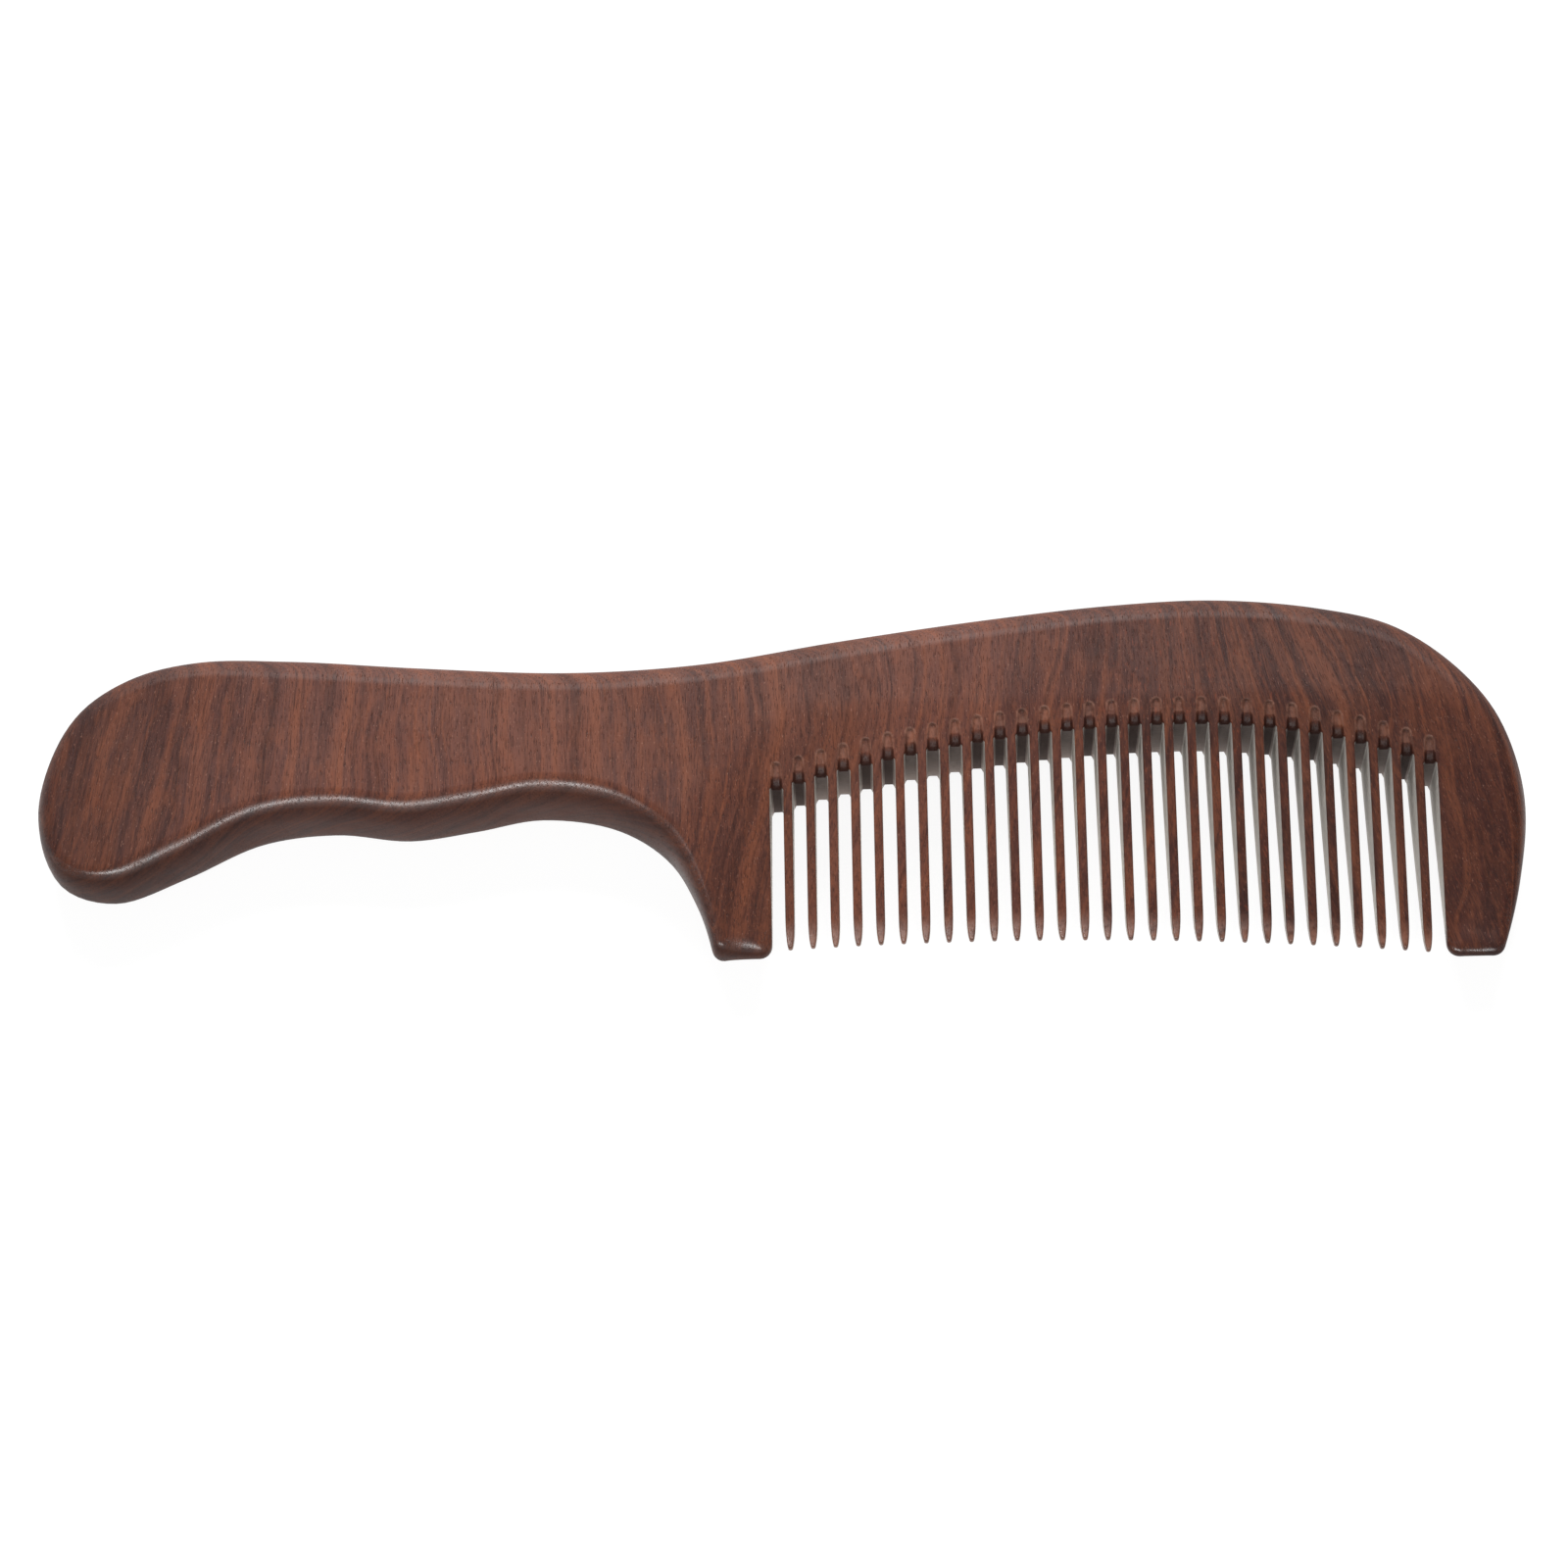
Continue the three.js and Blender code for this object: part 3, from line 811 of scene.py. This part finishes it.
class Wood:
    """Dark oiled hardwood: growth bands, fine grain and pores along the teeth, sawn grey in the gaps
    with a painted reflection of the floor, and painted shade and highlights.
    """

    def __init__(self):
        self.material = bpy.data.materials.new("comb_wood")
        self.material.use_nodes = True
        n = self.n = Nodes(self.material.node_tree)
        place = n.split(n.make("ShaderNodeTexCoord").outputs["Object"])
        self.place = tuple(n.math("MULTIPLY_ADD", out, 1 / MM, -shift)
                           for out, shift in zip(place, (FIRST_GAP, LIFT_Y, HALF)))
        x, y, z = self.place
        # The grain runs along the teeth. It leans one way in the heel, the other way in the free end.
        lean = n.math("ADD", n.step(x, -92, -50, -0.15, 0), n.step(x, 44, 74, 0, 0.3))
        self.across = n.math("MULTIPLY_ADD", y, lean, x)
        sway = n.math("SUBTRACT", n.noise(n.scaled(self.place, (0.05, 0.03, 0.05)), detail=2), 0.5)
        ring = n.math("MULTIPLY_ADD", z, -1.7, self.across)
        self.ring = n.math("ADD", ring, n.math("MULTIPLY", sway, 9))
        self.facing = n.split(n.make("ShaderNodeTexCoord").outputs["Normal"])
        # Faces turned towards the teeth, mostly the lower rounded side: used for painted shade in the
        # colour and for more roughness.
        self.lower_side = n.step(self.facing[1], -0.35, -0.95)
        self.sawn = n.make("ShaderNodeAttribute", attribute_name="sawn").outputs["Fac"]
        # Painted highlight and shade of the run-outs and tips, read from the vertices.
        self.highlight_and_shade = n.make("ShaderNodeAttribute", attribute_name="painted_highlight_shade").outputs["Fac"]
        self.saw_lines = n.noise(n.scaled(self.place, (1.0, 0.8, 6.0)), detail=3, roughness=0.7)
        self.fine = self.grain(0.2, 3.2, 0.0, detail=3, roughness=0.7)
        self.pore = n.step(self.grain(0.13, 1.2, 11.0, detail=1.5, roughness=0.5), 0.6, 0.7)

        shader = self.material.node_tree.nodes["Principled BSDF"]
        n.feed(shader.inputs["Base Color"], self.gap_colour(self.grain_colour()))
        roughness, polished = self.polish()
        n.feed(shader.inputs["Roughness"], roughness)
        n.feed(shader.inputs["Specular IOR Level"], n.math("MULTIPLY_ADD", polished, 0.45, 0.2))
        n.feed(shader.inputs["Normal"], self.relief())

    def grain(self, width, length, seed, **settings):
        """Noise stretched along the grain, its features about width by length millimetres."""
        n = self.n
        return n.noise(n.vector(n.math("MULTIPLY_ADD", self.across, 1 / width, seed),
                                n.math("MULTIPLY_ADD", self.place[1], 1 / length, seed),
                                n.math("MULTIPLY", self.place[2], 1 / width)), **settings)

    def rings(self, narrowness, waviness, seed, **settings):
        """Noise in bands along the growth rings."""
        n = self.n
        return n.noise(n.vector(n.math("MULTIPLY", self.ring, narrowness),
                                n.math("MULTIPLY", self.place[1], waviness), seed), **settings)

    def grain_colour(self):
        n = self.n
        x, y, z = self.place
        colour = n.ramp(n.math("MULTIPLY_ADD", x, 1 / (HANDLE_LENGTH + HEAD_LENGTH), 0.5),
                        [(share, linear(*rgb)) for share, rgb in WOOD_ALONG])

        bands = self.rings(0.36, 0.012, 3.1, detail=3, roughness=0.62)
        colour = n.tint(colour, bands, 0.44, 0.68, 0.5, WARM_STREAK)
        colour = n.tint(colour, bands, 0.5, 0.32, 0.5, DARK_GRAIN_AND_SHADE)
        lines = self.rings(1.6, 0.02, 7.7, detail=2, roughness=0.6)
        colour = n.tint(colour, lines, 0.5, 0.32, 0.45, DARK_GRAIN_AND_SHADE)
        colour = n.tint(colour, lines, 0.56, 0.72, 0.4, WARM_STREAK)
        neck_band = n.math("MULTIPLY", n.step(self.ring, -9, -4), n.step(self.ring, -1, 3, 1, 0))
        colour = n.mix(n.math("MULTIPLY", neck_band, 0.28), colour, DARK_GRAIN_AND_SHADE)

        figure = n.noise(n.scaled((self.across, y, z), (0.5, 0.13, 0.3)),
                         detail=3, roughness=0.6, distortion=0.8)
        colour = n.tint(colour, figure, 0.4, 0.7, 0.3, WARM_STREAK)
        colour = n.tint(colour, self.fine, 0.5, 0.3, 0.6, DARK_GRAIN_AND_SHADE)
        colour = n.tint(colour, self.fine, 0.52, 0.75, 0.45, WARM_STREAK)

        mottled = n.math("MULTIPLY", n.step(x, 40, 52), n.step(x, 74, 62))
        fleck = n.step(self.grain(0.4, 1.6, 31.0, detail=2, roughness=0.55), 0.6, 0.72)
        share = n.math("MULTIPLY_ADD", mottled, 0.45, 0.18)
        colour = n.mix(n.math("MULTIPLY", fleck, share), colour, RED_FLECK)
        colour = n.mix(n.math("MULTIPLY", self.pore, 0.6), colour, DARK_GRAIN_AND_SHADE)
        speck = n.step(self.grain(0.13, 0.6, 53.0, detail=1, roughness=0.5), 0.68, 0.76)
        colour = n.mix(n.math("MULTIPLY", speck, 0.4), colour, PALE_FLECK_AND_HIGHLIGHT)

        beside, above = (n.math("SUBTRACT", v, middle) for v, middle in zip((x, y), SMUDGE))
        away = n.math("ADD", n.math("MULTIPLY", beside, beside), n.math("MULTIPLY", above, above))
        colour = n.tint(colour, n.math("SQRT", away), 4, 0.5, 0.3, DARK_GRAIN_AND_SHADE)
        # Painted shade: faces turned towards the teeth, such as the handle's lower rounded side, are
        # darkened.
        return n.mix(n.math("MULTIPLY", self.lower_side, 0.5), colour, DARK_GRAIN_AND_SHADE)

    def gap_colour(self, colour):
        """The wood's colour with the sawn gaps, the painted highlights and shade of the run-outs and
        tips, and the darker ends added.
        """
        n = self.n
        x, _, z = self.place
        # Painted light in the gaps: the sawn grey is painted darker towards the top face and paler
        # towards the floor, and the teeth's sides, facing along the comb, palest: a painted reflection
        # of the pale floor.
        sawn = n.mix(n.step(z, 4, -5), SAWN_SHADED, SAWN_FLOOR_LIT)
        sawn = n.mix(n.step(n.math("ABSOLUTE", self.facing[0]), 0.6, 0.95), sawn, SAWN_SIDE_REFLECTION)
        share = n.step(self.saw_lines, 0.2, 0.75, 0.7, 0.95)
        colour = n.mix(n.math("MULTIPLY", self.sawn, share), colour, sawn)
        # Painted shade in the lower part of each run-out, where the value is below 0.
        colour = n.mix(n.math("MULTIPLY", self.highlight_and_shade, -0.7, clamp=True), colour, DARK_GRAIN_AND_SHADE)
        # Painted highlight, broken up by noise: the line round each run-out's top and the tips; the
        # run-out's upper floor is painted paler.
        patchy = n.noise(n.scaled(self.place, (0.9, 0.9, 0.9)), detail=3, roughness=0.6)
        share = n.math("MULTIPLY", n.math("MAXIMUM", self.highlight_and_shade, 0), n.step(patchy, 0.35, 0.6, 0.25, 0.8))
        colour = n.mix(share, colour, PALE_FLECK_AND_HIGHLIGHT)
        shade = n.math("MULTIPLY", n.step(x, 35, 75, 1, 0.82), n.step(x, -97, -76, 0.87, 1))
        return n.mix(1.0, colour, n.vector(shade, shade, shade), "MULTIPLY")

    def polish(self):
        """The roughness, and where the handle's ridge and the guard's bevel are rubbed bright."""
        n = self.n
        x, y, _ = self.place
        _, facing_y, facing_z = self.facing
        uneven = n.noise(n.scaled(self.place, (0.12, 0.12, 0.12)), detail=4, roughness=0.6)
        rough = n.step(uneven, 0.3, 0.7, 0.29, 0.37)
        rough = n.math("MULTIPLY_ADD", n.step(self.fine, 0.3, 0.7), 0.08, rough)
        rough = n.math("MULTIPLY_ADD", self.pore, 0.2, rough)
        polished = n.math("MULTIPLY", n.step(facing_z, 0.97, 0.93), n.step(facing_z, 0.6, 0.78))
        polished = n.math("MULTIPLY", polished, n.step(facing_y, -0.15, -0.3))
        rubbed = n.math("MAXIMUM", n.step(x, -4, -12), n.step(y, -19, -22))
        polished = n.math("MULTIPLY", polished, rubbed)
        rough = n.math("MULTIPLY_ADD", polished, -0.1, rough)
        rough = n.math("MULTIPLY_ADD", self.lower_side, 0.2, rough)
        rough = n.math("MULTIPLY_ADD", n.step(facing_y, 0.0, 0.25), 0.25, rough)
        return n.math("MULTIPLY_ADD", self.sawn, 0.3, rough, clamp=True), polished

    def relief(self):
        """Bump of the grain, the pores, the saw's marks and a slow ripple."""
        n = self.n
        height = n.math("MULTIPLY_ADD", self.fine, 0.5, n.math("MULTIPLY", self.pore, -1.0))
        height = n.math("MULTIPLY_ADD", n.math("MULTIPLY", self.sawn, self.saw_lines), 2.0, height)
        ripple = n.noise(n.scaled(self.place, (0.3, 0.1, 0.3)), detail=1)
        bump = n.make("ShaderNodeBump")
        bump.inputs["Strength"].default_value = 0.55
        bump.inputs["Distance"].default_value = 0.00006
        n.feed(bump.inputs["Height"], n.math("MULTIPLY_ADD", ripple, 1.5, height))
        return bump.outputs["Normal"]


wood = Wood().material
for name, (places, sides) in split_comb().items():
    make_piece(name, places, sides).data.materials.append(wood)

# ---------------------------------------------------------------- floor, light and camera


FLOOR_HALF = 3.0                    # metres
FLOOR_COLOUR = (0.14, 0.14, 0.14, 1)
FLOOR_GLOW = 0.9                    # a lit white sheet, so the photograph's ground has nearly no shadow
WHITE = (1, 1, 1, 1)
WORLD_STRENGTH = 0.25

# Lights, all aimed at the frame's origin: name, place, size in metres, power.
LIGHTS = [
    ("key", (0, 1.1, 0.85), (0.8, 0.6), 30),
    ("glint", (-0.1, -0.48, 0.82), (0.7, 0.14), 4.4),
]
CAMERA_TURNS = (23, 1.5, -1.36)     # tilt towards the teeth, yaw and roll, in degrees
CAMERA_AIM = (0.905, 0, 0)          # in the drawing's frame
CAMERA_DISTANCE = 0.569             # metres
CAMERA_LENS, CAMERA_SENSOR = 96.75, 36


def make_floor():
    mesh = bpy.data.meshes.new("floor")
    corners = [(x * FLOOR_HALF, y * FLOOR_HALF, 0) for x, y in ((-1, -1), (1, -1), (1, 1), (-1, 1))]
    mesh.from_pydata(corners, [], [(0, 1, 2, 3)])
    floor = bpy.data.objects.new("floor", mesh)
    bpy.context.collection.objects.link(floor)
    material = bpy.data.materials.new("pale_floor")
    material.use_nodes = True
    shader = material.node_tree.nodes["Principled BSDF"]
    shader.inputs["Base Color"].default_value = FLOOR_COLOUR
    shader.inputs["Roughness"].default_value = 0.8
    shader.inputs["Specular IOR Level"].default_value = 0.2
    shader.inputs["Emission Color"].default_value = WHITE
    shader.inputs["Emission Strength"].default_value = FLOOR_GLOW
    mesh.materials.append(material)


def softbox(name, place, size, power):
    light = bpy.data.lights.new(name, "AREA")
    light.shape = "RECTANGLE"
    light.size, light.size_y = size
    light.energy = power
    lamp = bpy.data.objects.new(name, light)
    lamp.location = place
    lamp.rotation_euler = (-Vector(place)).to_track_quat("-Z", "Y").to_euler()
    bpy.context.collection.objects.link(lamp)


def make_camera():
    """The photograph's view: from above and from the teeth's side, with a little yaw and roll."""
    tilt, yaw, roll = (math.radians(v) for v in CAMERA_TURNS)
    back = Vector((0, -math.sin(tilt), math.cos(tilt)))
    up = Vector((0, math.cos(tilt), math.sin(tilt)))
    right = Vector((1, 0, 0))
    turn = Matrix.Rotation(yaw, 3, up)
    back, right = turn @ back, turn @ right
    turn = Matrix.Rotation(roll, 3, back)
    right, up = turn @ right, turn @ up
    aim = (Vector((FIRST_GAP, LIFT_Y, HALF)) + Vector(CAMERA_AIM)) * MM
    camera = bpy.data.cameras.new("camera")
    camera.lens = CAMERA_LENS
    camera.sensor_width = CAMERA_SENSOR
    camera.clip_start = 0.01
    seat = bpy.data.objects.new("camera", camera)
    turned = Matrix((right, up, back)).transposed().to_4x4()
    seat.matrix_world = Matrix.Translation(aim + back * CAMERA_DISTANCE) @ turned
    bpy.context.collection.objects.link(seat)
    bpy.context.scene.camera = seat


make_floor()
for light in LIGHTS:
    softbox(*light)
world = bpy.data.worlds.new("studio")
world.use_nodes = True
background = world.node_tree.nodes["Background"]
background.inputs["Color"].default_value = WHITE
background.inputs["Strength"].default_value = WORLD_STRENGTH
bpy.context.scene.world = world
bpy.context.scene.view_settings.view_transform = "Standard"
make_camera()
